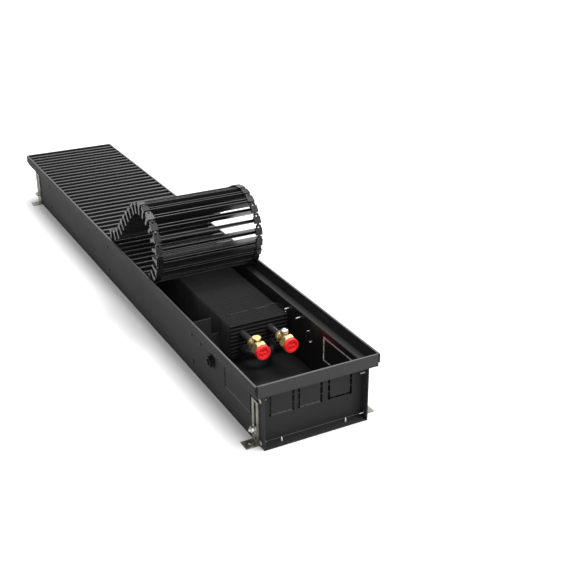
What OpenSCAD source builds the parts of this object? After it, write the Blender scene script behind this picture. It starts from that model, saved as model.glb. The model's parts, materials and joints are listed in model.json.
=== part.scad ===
// Trench convector heater: a long sheet-steel trough that is let into the floor, with a
// finned-tube heat exchanger inside and a linear grille that rolls up like a blind.
// Millimetres. X runs across the trough, Y along it, Z up. The origin is at the middle of
// the trough's underside, and the pipe connections are at the -Y end.

/* [Casing] */
// Length over the end lips
casing_len = 1200; // [1000:10:2400]
// Width over the rim
casing_w = 203; // [195:1:260]
// Height from the underside to the top of the rim
casing_h = 111; // [105:1:160]
// Thickness of the bent sheet
sheet = 1; // [0.8:0.1:1.2]
// How far the rim stands out past the wall, on each side
overhang = 15.5; // [14:0.5:20]
// Width of the rim's top face
rim_top_w = 3.5; // [3:0.1:5]
// Depth of the grille ledge below the rim
ledge_drop = 20.5; // [20.5:0.5:22]
// Height of the turned-down lip along the sides
side_lip_h = 15.5; // [10:0.5:18]
// Height of the turned-down lip at the ends
end_lip_h = 17.5; // [12:0.5:19]
// Distance from the end lip to the end of the walls and floor
wall_back = 5; // [5:0.5:8]
// Distance from the end lip to the face of the end panel
panel_back = 22.5; // [21:0.5:30]

/* [Knock-outs] */
// Width of the punched slit round a knock-out
slit_w = 1.2; // [0.6:0.1:1.5]
// Length of the bridges that hold a knock-out in place
bridge_len = 1.5; // [1:0.1:3]
// Width of a knock-out window in the end panels
end_window_w = 38; // [30:1:40]
// Height of a knock-out window in the end panels
end_window_h = 37; // [25:1:38]
// Length of the knock-out window in the side walls
side_window_w = 88; // [60:1:90]
// Height of the knock-out window in the side walls
side_window_h = 40; // [25:1:42]
// Distance from the near end to the middle of the side window
side_window_y = 91; // [91:1:100]
// Diameter of the cable knock-out
cable_hole_d = 20; // [16:0.5:24]
// Distance from the near end to the cable knock-out
cable_hole_y = 182; // [165:1:190]

/* [Heat exchanger] */
// Width of the fins
fin_w = 104; // [100:1:110]
// Height of the fins
fin_h = 60; // [52:1:62]
// Thickness of one fin
fin_t = 0.5; // [0.3:0.1:0.8]
// Spacing of the fins
fin_pitch = 6; // [5:0.5:10]
// Height of the fins' lower edge above the underside
fin_z = 13; // [12:0.5:16]
// Distance from the near end to the first fin
fins_start = 247; // [240:1:255]
// Distance from the last fin to the far end
fins_end = 50; // [50:1:200]
// Distance from the fins' side edge to the right-hand wall
fin_wall_gap = 4.5; // [2:0.5:8]
// Outside diameter of the tubes
tube_d = 12; // [10:0.5:14]
// Wall of the tubes
tube_wall = 1; // [0.7:0.1:1.5]
// Spacing of the two tube columns, which is also that of the connections
tube_gap_x = 50; // [50:1:56]
// Spacing of the two tube rows
tube_gap_z = 27; // [25:1:30]
// Distance from the fins' side edge to the first tube column
tube_edge = 21; // [20:1:24]
// Distance from the near end to the first support plate
support_y = 289; // [283:1:300]
// Thickness of a support plate
support_t = 1.2; // [1:0.1:1.5]

/* [Connections] */
// Distance from the near end to the face of the protective caps
cap_y = 170; // [160:1:172]
// Diameter of the protective caps
cap_d = 25; // [24:0.5:27]
// Length of the caps outside the connector
cap_len = 6.2; // [5:0.1:8]
// Width across the flats of the connector's hexagon
hex_af = 24; // [22:0.5:26]
// Length of the hexagon
hex_len = 12; // [10:0.5:14]
// Length of the connector's neck
neck_len = 15; // [14:0.5:18]
// Diameter of the neck
neck_d = 14; // [13:0.5:16]
// Diameter of the round union nut
union_d = 19.5; // [19:0.5:22]
// Length of the round union nut
union_len = 9; // [7:0.5:11]
// Bore of the connector, which takes the cap's spigot
port_d = 16.6; // [15:0.1:17]
// Diameter of the vent knob and the drain plug
knob_d = 15; // [12:0.5:16]

/* [Grille] */
// Spacing of the slats
slat_pitch = 20; // [18:0.5:22]
// Width of a slat
slat_w = 6; // [5:0.5:8]
// Height of a slat
slat_h = 18; // [17:0.1:18]
// Wall of the slat's channel
slat_wall = 1; // [0.8:0.1:1.4]
// Play between a slat's end and the rim
slat_play = 0.5; // [0.3:0.1:1]
// Length of a link along the slat
link_len = 12; // [10:0.5:14]
// Height of a link, which lies on the ledge
link_h = 5; // [4.5:0.1:5]
// Diameter of a link's hinge knuckles, which are lower than the link
knuckle_d = 4; // [3.8:0.1:4.4]
// Angle between neighbouring slats in the rolled-up curl
curl_turn = 16.5; // [14:0.5:18]

/* [Feet] */
// Width of a foot bracket
foot_w = 20; // [18:0.5:24]
// Height of a foot bracket
foot_h = 72; // [60:1:80]
// Thickness of a foot bracket
foot_t = 2; // [1.5:0.1:2.5]
// Reach of the foot plate, outwards from the wall
foot_reach = 21; // [18:0.5:26]
// Distance from the end lip to the middle of a foot bracket
foot_y = 30; // [30:0.5:36]
// Height of the clamping bolt above the underside
foot_bolt_z = 24; // [22:0.5:26]
// Diameter of the clamping bolt
foot_bolt_d = 6; // [5:0.5:6]
// Diameter of the hole for the floor screw
anchor_d = 5; // [4:0.5:6]

/* [Hidden] */
$fn = 48;

// Clearances
hole_play = 0.2;      // round a screw, bolt or tube, on the radius
slide_play = 0.3;     // between pieces that move past each other
pin_play = 0.08;      // round a hinge stub, on the radius
cut = 1;              // how far a cutter runs past the face that it cuts

// Colours
black_coat = [0.13, 0.13, 0.14];
fin_black = [0.09, 0.09, 0.10];
link_black = [0.05, 0.05, 0.05];
zinc = [0.72, 0.71, 0.66];
brass = [0.83, 0.68, 0.36];
nickel = [0.80, 0.80, 0.80];
cap_red = [0.85, 0.13, 0.15];

// Casing
half_w = casing_w / 2;
half_len = casing_len / 2;
wall_x = half_w - overhang;              // outer face of a side wall
rim_in = half_w - rim_top_w;             // inner face of the rim
ledge_z = casing_h - ledge_drop;         // top of the ledge
rim_end_play = 1;                        // the side rim stops this far short of the end lip
rail_len = 2 * (rim_in - slat_play);     // the end rail fits between the side rims
panel_flange = panel_back - wall_back;   // depth of the end panel's flanges
panel_top_flange = 12;
corner_notch = 2;                        // relief where two flanges of a panel meet

// Screws
screw_r = 1.8;
screw_head_r = 3.6;
screw_head_h = 2;
screw_len = 9;
screw_tip = 2.5;
panel_screw_y = 15;                      // from the end lip
panel_screw_low = 8;                     // above the underside
panel_screw_drop = 33.5;                 // upper screw below the rim
panel_screw_high = casing_h - panel_screw_drop;
floor_screw_x = 53.5;
floor_screw_head_r = 3.6;
support_screw_y = 28;                    // ahead of the support plate
support_screw_len = 5;                   // stops short of the fins
support_screw_tip = 2;
support_screw_in = 4;                    // upper screw below the fins' upper edge
support_screw_low = 20;
spare_screw_y = 63;                      // the single screw of the left wall, ahead of them
upper_screw_ys = [213, 252];             // two long screws high in the right wall
upper_screw_drop = 31.5;                 // they sit this far below the rim

// Knock-outs
end_window_drop = 48.5;                  // middle of the end windows below the rim
side_window_drop = 52;                   // the same for the side window and the cable hole
window_z = casing_h - end_window_drop;
side_window_z = casing_h - side_window_drop;
cable_hole_z = side_window_z;
end_window_gap = 8.5;

// Heat exchanger
fin_right = wall_x - sheet - fin_wall_gap;
fin_left = fin_right - fin_w;
fin_top = fin_z + fin_h;
support_screw_high = fin_top - support_screw_in;
tube_left = fin_left + tube_edge;
tube_low = fin_z + (fin_h - tube_gap_z) / 2;
tube_high = tube_low + tube_gap_z;
collar_wall = 0.5;                       // fin collars, which space the fins
collar_bore = tube_d / 2 + hole_play / 2;
collar_r = collar_bore + collar_wall;
far_bend_out = 5;                        // tubes stand out past the last fin
near_bend_out = 6;
tubes_end = casing_len - fins_end + far_bend_out;
lower_start = fins_start - near_bend_out;
ripple_count = 9;
ripple_height = 0.7;
ripple_steps = 8;
end_fin_t = 0.6;
end_fin_gap = 3;                         // from an end fin to the next
first_fin = fins_start + end_fin_gap;
fin_count = floor((casing_len - fins_end - end_fin_gap - first_fin) / fin_pitch) + 1;
last_fin = first_fin + (fin_count - 1) * fin_pitch;
lug_h = 1.5;                             // support plate above the fins
plate_notch_w = 14;
plate_notch_depth = 30;
plate_notch_gap = 2;                     // strip left beside the fins
plate_flange = 33;
mid_plate_shift = 100;                   // middle plate past the middle of the casing
far_plate_back = 40;                     // far plate before the last fin
lug_a = 10;                              // lugs along the plate's top edge
lug_a_w = 9;
lug_b = 52;
lug_b_w = 13;
lug_right_w = 14;

// Connections
conn_x = [tube_left, tube_left + tube_gap_x];
hex_y = cap_y + cap_len + slide_play;
neck_y = hex_y + hex_len;
union_y = neck_y + neck_len;
boss_y = neck_y + neck_len / 2;
boss_d = 9;
boss_h = 12;                             // above the tube's axis
stem_r = 2.4;                            // spindle in the boss's bore
stem_play = 0.08;
stem_len = 6;
plug_h = 3.5;
plug_stem_h = 2;
knob_h = 7.5;
knob_ribs = 18;
spigot_len = 8;
port_depth = 10;

// Grille
slat_len = 2 * (rim_in - slat_play);
slat_count = floor(casing_len / slat_pitch) - 1;
first_slat = (casing_len - (slat_count - 1) * slat_pitch) / 2;
link_z = ledge_z + slide_play + link_h / 2;      // hinge axis when the grille is flat
slat_low = -0.8;                                    // slat's lower edge from that axis
link_top = link_h / 2;
tongue_h = slat_low + slat_h - slat_wall - link_top;  // closes the end of the channel
link_inner = slat_len / 2 - link_len;
stub_r = 1;
stub_len = 1.6;
knuckle_gap = 0.25;                                 // between knuckles, along the hinge
neck_in = 1.5;                                      // knuckles stand in from the link's sides

// Rolled-up part: a curl, a nearly straight leg and a tail that lies back on the grille
curl_count = 13;
leg_count = 5;
leg_turn = 2.14;
tail_count = 3;
tail_turn = -12;
roll_count = curl_count + leg_count + tail_count;
roll_start = first_slat + (roll_count - 0.5) * slat_pitch;

// Feet
foot_x = wall_x + slide_play;            // inner face of a foot bracket
foot_slot_w = foot_bolt_d + 2 * slide_play;
foot_slot_top = foot_h - 3;
foot_hole_z = 8;
foot_hole_d = 5;
washer_d = 14;
washer_t = 1.4;
nut_af = 10;
nut_t = 5;
bolt_out = 3;                            // thread past the nut
bolt_head_d = 13;
bolt_head_h = 3;

// ---------------------------------------------------------------- helpers

// Y of a distance measured from the near end
function near(d) = d - half_len;

// A strip of sheet along a path of centre-line points, with round outer bends
module strip(path, t = sheet) {
    for (i = [0:len(path) - 2]) {
        run = path[i + 1] - path[i];
        translate(path[i])
            rotate(atan2(run[1], run[0]))
                translate([0, -t / 2])
                    square([norm(run), t]);
    }
    for (i = [1:1:len(path) - 2])
        translate(path[i]) circle(d = t, $fn = 24);
}

// Extrudes a drawing of (Y, Z) along X, centred on X = 0
module along_x(length) {
    rotate([90, 0, 90]) linear_extrude(length, center = true) children();
}

// Extrudes a drawing of (X, Z) along Y from y0 to y1
module along_y(y0, y1) {
    translate([0, y1, 0]) rotate([90, 0, 0]) linear_extrude(y1 - y0) children();
}

// A cylinder along X or Y, from its start towards plus
module rod_x(length, r) { rotate([0, 90, 0]) cylinder(h = length, r = r); }
module rod_y(length, r) { rotate([-90, 0, 0]) cylinder(h = length, r = r); }

// Repeats its children at both ends of the casing: the far end is the near one turned round
module both_ends() {
    children();
    rotate(180) children();
}

module both_sides() {
    children();
    mirror([1, 0, 0]) children();
}

// Outline of the slit round a rectangular knock-out, broken by its bridges
module window_slit(w, h) {
    difference() {
        square([w + slit_w / 2, h + slit_w / 2], center = true);
        square([w - slit_w * 1.5, h - slit_w * 1.5], center = true);
        for (x = [-w / 4, w / 4]) translate([x, 0])
            square([bridge_len, h + 2 * slit_w], center = true);
        for (z = [-h / 2, -h / 6, h / 6, h / 2]) translate([0, z])
            square([w + 2 * slit_w, bridge_len], center = true);
    }
}

// A tapping screw along +X with its head's underside at the origin
module screw_x(length = screw_len, tip = screw_tip) {
    translate([-screw_head_h, 0, 0]) rod_x(screw_head_h, screw_head_r);
    rod_x(length - tip, screw_r);
    translate([length - tip, 0, 0]) rotate([0, 90, 0])
        cylinder(h = tip, r1 = screw_r, r2 = screw_r / 5);
}

// ---------------------------------------------------------------- casing

// Cross-section of the trough, right half: floor, wall and ledge
module trough_half() {
    strip([[0, sheet / 2], [wall_x - sheet / 2, sheet / 2],
           [wall_x - sheet / 2, ledge_z - sheet / 2],
           [rim_in + sheet / 2, ledge_z - sheet / 2]]);
}

// Cross-section of the rim, right half: inner leg, top and outer lip
module rim_half() {
    strip([[rim_in + sheet / 2, ledge_z - sheet], [rim_in + sheet / 2, casing_h - sheet / 2],
           [half_w - sheet / 2, casing_h - sheet / 2],
           [half_w - sheet / 2, casing_h - side_lip_h]]);
}

module side_screw_places() {
    for (z = [panel_screw_low, panel_screw_high])
        translate([wall_x, near(panel_screw_y), z]) children();
}

// Screws that hold the support plates: two at each plate, on each side
module support_screw_places(y) {
    for (z = [support_screw_low, support_screw_high])
        translate([wall_x, near(y - support_screw_y), z]) children();
}

module spare_screw_place() {
    mirror([1, 0, 0])
        translate([wall_x, near(support_y - spare_screw_y), support_screw_high]) children();
}

module upper_screw_places() {
    for (y = upper_screw_ys)
        translate([wall_x, near(y), casing_h - upper_screw_drop]) children();
}

// Screw and bolt holes through the walls
module wall_holes() {
    hole_r = screw_r + hole_play;
    both_ends() both_sides() {
        side_screw_places() translate([-2 * cut - sheet, 0, 0]) rod_x(4 * cut + sheet, hole_r);
        translate([wall_x - sheet - cut, near(foot_y), foot_bolt_z])
            rod_x(sheet + 2 * cut, foot_bolt_d / 2 + hole_play);
    }
    both_sides() for (y = support_ys())
        support_screw_places(y) translate([-sheet - cut, 0, 0]) rod_x(sheet + 2 * cut, hole_r);
    spare_screw_place() translate([-sheet - cut, 0, 0]) rod_x(sheet + 2 * cut, hole_r);
    upper_screw_places() translate([-sheet - cut, 0, 0]) rod_x(sheet + 2 * cut, hole_r);
}

module floor_screw_places() {
    for (x = [-floor_screw_x, floor_screw_x])
        translate([x, near(panel_screw_y), 0]) children();
}

// The knock-outs of the side walls: a window in both, a round hole on the left and its
// uncut blank on the right
module wall_knockouts() {
    both_sides()
        translate([wall_x - sheet / 2, near(side_window_y), side_window_z])
            along_x(sheet + 2 * cut) window_slit(side_window_w, side_window_h);
    translate([-wall_x - cut, near(cable_hole_y), cable_hole_z])
        rod_x(sheet + 2 * cut, cable_hole_d / 2);
    translate([wall_x - sheet / 2, near(cable_hole_y), cable_hole_z])
        along_x(sheet + 2 * cut) difference() {
            circle(d = cable_hole_d);
            circle(d = cable_hole_d - 2 * slit_w);
            for (a = [45, 135]) rotate(a) square([cable_hole_d + cut, bridge_len], center = true);
        }
}

module trough() {
    color(black_coat) difference() {
        union() {
            along_y(near(wall_back), -near(wall_back)) {
                trough_half();
                mirror([1, 0]) trough_half();
            }
            along_y(near(rim_end_play), -near(rim_end_play)) {
                rim_half();
                mirror([1, 0]) rim_half();
            }
        }
        wall_holes();
        wall_knockouts();
        both_ends() floor_screw_places() translate([0, 0, -0.01])
            cylinder(h = 2 * sheet + 0.01, r1 = floor_screw_head_r + hole_play,
                     r2 = screw_r + hole_play);
    }
}

// Rim of one end: lip, top and inner leg over the full width, and the ledge between the walls
module end_rail() {
    color(black_coat) {
        along_x(rail_len)
            strip([[near(sheet / 2), casing_h - end_lip_h], [near(sheet / 2), casing_h - sheet / 2],
                   [near(rim_top_w - sheet / 2), casing_h - sheet / 2],
                   [near(rim_top_w - sheet / 2), ledge_z - sheet]]);
        along_x(2 * (wall_x - sheet - slat_play))
            strip([[near(rim_top_w - sheet / 2), ledge_z - sheet / 2],
                   [near(panel_back + sheet), ledge_z - sheet / 2]]);
    }
}

// End wall: a panel with its four edges turned outwards, open at the corners
module end_panel() {
    plate_w = 2 * (wall_x - 2 * sheet);
    plate_y = near(panel_back + sheet / 2);
    color(black_coat) difference() {
        union() {
            along_x(plate_w - 2 * corner_notch)
                strip([[near(wall_back), 1.5 * sheet], [plate_y, 1.5 * sheet],
                       [plate_y, ledge_z - 1.5 * sheet],
                       [near(panel_back - panel_top_flange), ledge_z - 1.5 * sheet]]);
            translate([-plate_w / 2, near(panel_back), 2 * sheet + corner_notch])
                cube([plate_w, sheet, ledge_z - 4 * sheet - 2 * corner_notch]);
            both_sides()
                translate([plate_w / 2, near(wall_back), 2 * sheet + corner_notch])
                    cube([sheet, panel_flange + sheet, ledge_z - 4 * sheet - 2 * corner_notch]);
        }
        both_sides() side_screw_places() translate([-2 * sheet - cut, 0, 0])
            rod_x(2 * sheet + 2 * cut, screw_r + hole_play);
        floor_screw_places() translate([0, 0, -cut])
            cylinder(h = 2 * sheet + 2 * cut, r = screw_r + hole_play);
        for (x = end_window_xs())
            translate([x, near(panel_back) - cut, window_z]) mirror([0, 1, 0]) rotate([90, 0, 0])
                linear_extrude(sheet + 2 * cut) window_slit(end_window_w, end_window_h);
    }
}

// The windows stand in line with the two connections, with one more to their left
function end_window_xs() = [conn_x[0] - end_window_w - end_window_gap, conn_x[0], conn_x[1]];

module panel_screws() {
    color(zinc) both_ends() both_sides()
        side_screw_places() mirror([1, 0, 0]) screw_x();
}

// Countersunk screws from below, through the floor and the panel's lower flange
module floor_screws() {
    color(zinc) both_ends() floor_screw_places() {
        cylinder(h = sheet, r1 = floor_screw_head_r, r2 = (floor_screw_head_r + screw_r) / 2);
        cylinder(h = screw_len - screw_tip, r = screw_r);
        translate([0, 0, screw_len - screw_tip])
            cylinder(h = screw_tip, r1 = screw_r, r2 = screw_r / 5);
    }
}

// Blind rubber plug in the cable hole, with a groove that grips the wall
module cable_plug() {
    color(link_black)
        translate([-wall_x, near(cable_hole_y), cable_hole_z]) rotate([0, -90, 0])
            rotate_extrude() {
                square([cable_hole_d / 2 - 1.2, 7]);
                square([cable_hole_d / 2 + 2.5, 1.8]);
                translate([0, 7]) square([cable_hole_d / 4, 2.5]);
                translate([0, -sheet]) square([cable_hole_d / 2 - hole_play, sheet]);
                translate([0, -sheet - 2]) square([cable_hole_d / 2 + 1.2, 2]);
            }
}

// ---------------------------------------------------------------- feet

// Slotted L bracket at the near left corner's mirror image, on the right-hand wall
module foot_bracket() {
    color(zinc) difference() {
        translate([0, near(foot_y) - foot_w / 2, 0]) {
            translate([foot_x, 0, 0]) cube([foot_t, foot_w, foot_h]);
            translate([foot_x, 0, 0]) cube([foot_reach, foot_w, foot_t]);
        }
        translate([foot_x - cut, near(foot_y), 0]) {
            for (z = [foot_bolt_z, foot_slot_top - foot_slot_w / 2])
                translate([0, 0, z]) rod_x(foot_t + 2 * cut, foot_slot_w / 2);
            translate([0, -foot_slot_w / 2, foot_bolt_z])
                cube([foot_t + 2 * cut, foot_slot_w, foot_slot_top - foot_slot_w / 2 - foot_bolt_z]);
            translate([0, 0, foot_hole_z]) rod_x(foot_t + 2 * cut, foot_hole_d / 2);
        }
        translate([foot_x + foot_t + (foot_reach - foot_t) / 2, near(foot_y), -cut])
            cylinder(h = foot_t + 2 * cut, d = anchor_d);
    }
}

module foot_bolt_places() {
    both_ends() both_sides() translate([0, near(foot_y), foot_bolt_z]) children();
}

washer_x = foot_x + foot_t + slide_play;
nut_x = washer_x + washer_t;

module foot_bolts() {
    color(zinc) foot_bolt_places() {
        translate([wall_x - sheet, 0, 0]) {
            rod_x(nut_x + nut_t + bolt_out - wall_x + sheet, foot_bolt_d / 2);
            translate([-bolt_head_h, 0, 0]) rotate([0, 90, 0])
                cylinder(h = bolt_head_h, d1 = bolt_head_d - 4, d2 = bolt_head_d);
        }
    }
}

module foot_washers() {
    color(zinc) foot_bolt_places() translate([washer_x, 0, 0]) difference() {
        rod_x(washer_t, washer_d / 2);
        translate([-cut, 0, 0]) rod_x(washer_t + 2 * cut, foot_bolt_d / 2 + hole_play);
    }
}

module foot_nuts() {
    color(zinc) foot_bolt_places() translate([nut_x, 0, 0]) difference() {
        rotate([0, 90, 0]) cylinder(h = nut_t, d = nut_af / cos(30), $fn = 6);
        translate([-cut, 0, 0]) rod_x(nut_t + 2 * cut, foot_bolt_d / 2 + hole_play / 2);
    }
}

// ---------------------------------------------------------------- heat exchanger

// Every place where a tube goes through the fins
module tube_places() {
    for (x = conn_x, z = [tube_low, tube_high]) translate([x, 0, z]) children();
}

// The support plates stand midway between two fins
function fin_gap(y) = first_fin + (floor((y - first_fin) / fin_pitch) + 0.5) * fin_pitch;
function support_ys() = [fin_gap(support_y), fin_gap(casing_len / 2 + mid_plate_shift),
                         fin_gap(casing_len - fins_end - far_plate_back)];

// Flat fins, joined by the collars that are drawn from each fin round the tubes
module exchanger_fins() {
    color(fin_black) difference() {
        union() {
            for (i = [0:fin_count - 1])
                translate([fin_left, near(first_fin + i * fin_pitch), fin_z])
                    cube([fin_w, fin_t, fin_h]);
            tube_places() translate([0, near(first_fin), 0])
                rod_y(last_fin + fin_t - first_fin, collar_r);
        }
        tube_places() translate([0, near(first_fin) - cut, 0])
            rod_y(last_fin + fin_t - first_fin + 2 * cut, collar_bore);
    }
}

// Side view of a fin that is pressed into horizontal ripples
function ripple(s) = ripple_height * sin(360 * ripple_count * s);
module rippled_fin() {
    steps = ripple_count * ripple_steps;
    front = [for (i = [0:steps]) [ripple(i / steps), fin_z + fin_h * i / steps]];
    back = [for (i = [steps:-1:0]) [ripple(i / steps) + end_fin_t, fin_z + fin_h * i / steps]];
    polygon(concat(front, back));
}

module exchanger_end_fins() {
    color(fin_black) for (y = [fins_start + ripple_height, last_fin + end_fin_gap])
        difference() {
            translate([(fin_left + fin_right) / 2, near(y), 0]) along_x(fin_w) rippled_fin();
            tube_places() translate([0, near(y) - 2 * cut, 0])
                rod_y(end_fin_t + 4 * cut, collar_bore);
        }
}

// A length of tube along +Y
module tube_y(length) {
    difference() {
        rod_y(length, tube_d / 2);
        translate([0, -cut, 0]) rod_y(length + 2 * cut, tube_d / 2 - tube_wall);
    }
}

module exchanger_tubes() {
    color(fin_black) for (x = conn_x) {
        translate([x, near(union_y + union_len / 2), tube_high])
            tube_y(tubes_end - union_y - union_len / 2);
        translate([x, near(lower_start), tube_low]) tube_y(tubes_end - lower_start);
    }
}

// A half turn of tube that opens towards +Y, over a given spacing along X
module half_turn(spacing) {
    rotate(180) rotate_extrude(angle = 180)
        translate([spacing / 2, 0]) difference() {
            circle(d = tube_d);
            circle(d = tube_d - 2 * tube_wall);
        }
}

module return_bends() {
    color(fin_black) {
        translate([conn_x[0] + tube_gap_x / 2, near(lower_start), tube_low]) half_turn(tube_gap_x);
        for (x = conn_x) translate([x, near(tubes_end), tube_low + tube_gap_z / 2])
            rotate([0, 90, 0]) rotate(180) half_turn(tube_gap_z);
    }
}

// Cross plate that carries the fin block, with a notch for cables beside it
module plate_outline() {
    inner_x = wall_x - sheet;
    notch_right = fin_left - plate_notch_gap;
    difference() {
        union() {
            translate([-inner_x, sheet]) square([2 * inner_x, fin_top - sheet]);
            for (span = [[-inner_x, notch_right - plate_notch_w], [notch_right, fin_left],
                         [fin_left + lug_a, fin_left + lug_a + lug_a_w],
                         [fin_left + lug_b, fin_left + lug_b + lug_b_w],
                         [fin_right - lug_right_w, inner_x]])
                translate([span[0], fin_top - cut]) square([span[1] - span[0], lug_h + cut]);
        }
        translate([notch_right - plate_notch_w, fin_top + lug_h - plate_notch_depth]) {
            translate([0, plate_notch_w / 4]) square([plate_notch_w, plate_notch_depth]);
            for (x = [plate_notch_w / 4, 3 * plate_notch_w / 4])
                translate([x, plate_notch_w / 4]) circle(d = plate_notch_w / 2);
            translate([plate_notch_w / 4, 0]) square([plate_notch_w / 2, plate_notch_w]);
        }
    }
}

module support_plate(y) {
    flange_z = fin_z;
    color(fin_black) difference() {
        union() {
            along_y(near(y) - support_t / 2, near(y) + support_t / 2) plate_outline();
            both_sides() translate([wall_x - sheet - support_t, near(y - plate_flange), flange_z])
                cube([support_t, plate_flange, fin_top + lug_h - flange_z]);
        }
        tube_places() translate([0, near(y) - cut, 0])
            rod_y(2 * cut, collar_r + hole_play / 2);
        both_sides() support_screw_places(y) translate([-2 * cut - sheet - support_t, 0, 0])
            rod_x(4 * cut + sheet + support_t, screw_r + hole_play);
    }
}

module support_screws() {
    color(zinc) {
        both_sides() for (y = support_ys()) support_screw_places(y) mirror([1, 0, 0])
            screw_x(support_screw_len, support_screw_tip);
        spare_screw_place() mirror([1, 0, 0]) screw_x(support_screw_len, support_screw_tip);
        upper_screw_places() mirror([1, 0, 0]) screw_x();
    }
}

// ---------------------------------------------------------------- connections

// Round union nut on the end of each tube
module union_nuts() {
    color(brass) for (x = conn_x) translate([x, near(union_y), tube_high]) rotate([-90, 0, 0])
        rotate_extrude() difference() {
            union() {
                translate([0, 1]) square([union_d / 2, union_len - 2]);
                square([union_d / 2 - 1, union_len]);
                for (y = [1, union_len - 1]) translate([union_d / 2 - 1, y]) circle(r = 1, $fn = 24);
            }
            translate([-cut, union_len / 2]) square([tube_d / 2 + cut + hole_play / 2, union_len]);
            translate([-cut, -cut])
                square([tube_d / 2 - tube_wall + cut, union_len / 2 + cut + 0.01]);
        }
}

// Brass connector: a hexagon with the port, a neck, and a drilled boss that points up
module connector(x) {
    color(brass) translate([x, 0, tube_high]) difference() {
        union() {
            translate([0, near(hex_y), 0]) rotate([-90, 0, 0])
                cylinder(h = hex_len, d = hex_af / cos(30), $fn = 6);
            translate([0, near(neck_y), 0]) rod_y(neck_len, neck_d / 2);
            translate([0, near(boss_y), 0]) cylinder(h = boss_h, d = boss_d);
        }
        translate([0, near(hex_y) - cut, 0]) rod_y(port_depth + cut, port_d / 2);
        translate([0, near(hex_y), 0])
            rod_y(hex_len + neck_len + cut, tube_d / 2 - tube_wall);
        translate([0, near(boss_y), 0]) cylinder(h = boss_h + cut, r = stem_r + stem_play);
    }
}

// Brass screw plug on the left-hand boss, with a slot across its top
module drain_plug() {
    color(brass) translate([conn_x[0], near(boss_y), tube_high + boss_h]) difference() {
        union() {
            cylinder(h = plug_stem_h, d = boss_d - 2);
            translate([0, 0, plug_stem_h - 1]) cylinder(h = plug_h, d = knob_d);
            translate([0, 0, -stem_len]) cylinder(h = stem_len + 1, r = stem_r);
        }
        translate([-knob_d / 4, -0.6, plug_stem_h + plug_h - 1.8])
            cube([knob_d / 2, 1.2, 2]);
    }
}

// Ribbed knob of the air vent, on the right-hand boss
module air_vent_knob() {
    color(nickel) translate([conn_x[1], near(boss_y), tube_high + boss_h + slide_play]) {
        difference() {
            union() {
                cylinder(h = knob_h - 1, d = knob_d);
                translate([0, 0, knob_h - 1]) cylinder(h = 1, d1 = knob_d, d2 = knob_d - 2);
                translate([0, 0, -stem_len]) cylinder(h = stem_len + 1, r = stem_r);
            }
            for (i = [0:knob_ribs - 1]) rotate(i * 360 / knob_ribs)
                translate([knob_d / 2 + 0.3, 0, -cut]) cylinder(h = knob_h + 2 * cut, r = 0.8, $fn = 24);
        }
    }
}

// Plastic cap that closes a port until the pipes are joined: a disc with a raised rim and
// a cross grip, and a spigot that fits the port
module protective_cap(x) {
    recess = 1.6;
    grip_t = 2;
    color(cap_red) translate([x, near(cap_y), tube_high]) {
        difference() {
            rod_y(cap_len, cap_d / 2);
            translate([0, -cut, 0]) rod_y(recess + cut, cap_d / 2 - 3);
        }
        translate([0, cap_len, 0]) rod_y(spigot_len, port_d / 2 - slide_play);
        for (a = [0, 90]) rotate([0, a, 0])
            translate([-cap_d / 4, 0.4, -grip_t / 2]) cube([cap_d / 2, recess, grip_t]);
    }
}

// ---------------------------------------------------------------- grille

// Slat in its own frame: hinge axis level at Z = 0, middle of the slat at Y = 0, top up.
// It is an inverted channel whose legs are cut away over the links.
module slat() {
    color(black_coat) difference() {
        translate([-slat_len / 2, -slat_w / 2, slat_low]) cube([slat_len, slat_w, slat_h]);
        translate([-slat_len / 2 - cut, -slat_w / 2 + slat_wall, slat_low - cut])
            cube([slat_len + 2 * cut, slat_w - 2 * slat_wall, slat_h - slat_wall + cut]);
        both_sides() translate([link_inner, -slat_w, slat_low - cut])
            cube([link_len + cut, 2 * slat_w, link_top - slat_low + cut]);
    }
}

// Link at a slat's right-hand end: a body under the slat, a tongue up inside its channel,
// a fork on the near side and, on the far side, an eye whose stubs turn in the next fork
module link() {
    third = link_len / 3;
    half_pitch = slat_pitch / 2;
    body_half = half_pitch - knuckle_d / 2 - slide_play;
    eye_x = third + knuckle_gap;
    eye_len = third - 2 * knuckle_gap;
    arm_len = third - neck_in;
    color(link_black) translate([link_inner, 0, 0]) {
        translate([0, -body_half, -link_h / 2]) cube([link_len, 2 * body_half, link_h]);
        translate([0, -slat_w / 2 + slat_wall, link_top])
            cube([link_len, slat_w - 2 * slat_wall, tongue_h]);
        for (x = [neck_in, link_len - third]) difference() {
            translate([x, -half_pitch, 0]) {
                rod_x(arm_len, knuckle_d / 2);
                translate([0, 0, -knuckle_d / 2]) cube([arm_len, knuckle_d / 2 + slide_play + cut,
                                                        knuckle_d]);
            }
            translate([x - cut, -half_pitch, 0]) rod_x(arm_len + 2 * cut, stub_r + pin_play);
        }
        translate([eye_x, half_pitch, 0]) {
            rod_x(eye_len, knuckle_d / 2);
            translate([0, -knuckle_d / 2 - slide_play - cut, -knuckle_d / 2])
                cube([eye_len, knuckle_d / 2 + slide_play + cut, knuckle_d]);
            translate([-stub_len, 0, 0]) rod_x(eye_len + 2 * stub_len, stub_r);
        }
    }
}

module link_pair() { both_sides() link(); }

// Slats that lie flat on the ledge, from the hinge of the roll to the far end
module flat_places() {
    for (k = [roll_count:slat_count - 1])
        translate([0, near(first_slat + k * slat_pitch), link_z]) children();
}

module grille_slats_flat() { flat_places() slat(); }
module grille_links_flat() { flat_places() link_pair(); }

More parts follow.
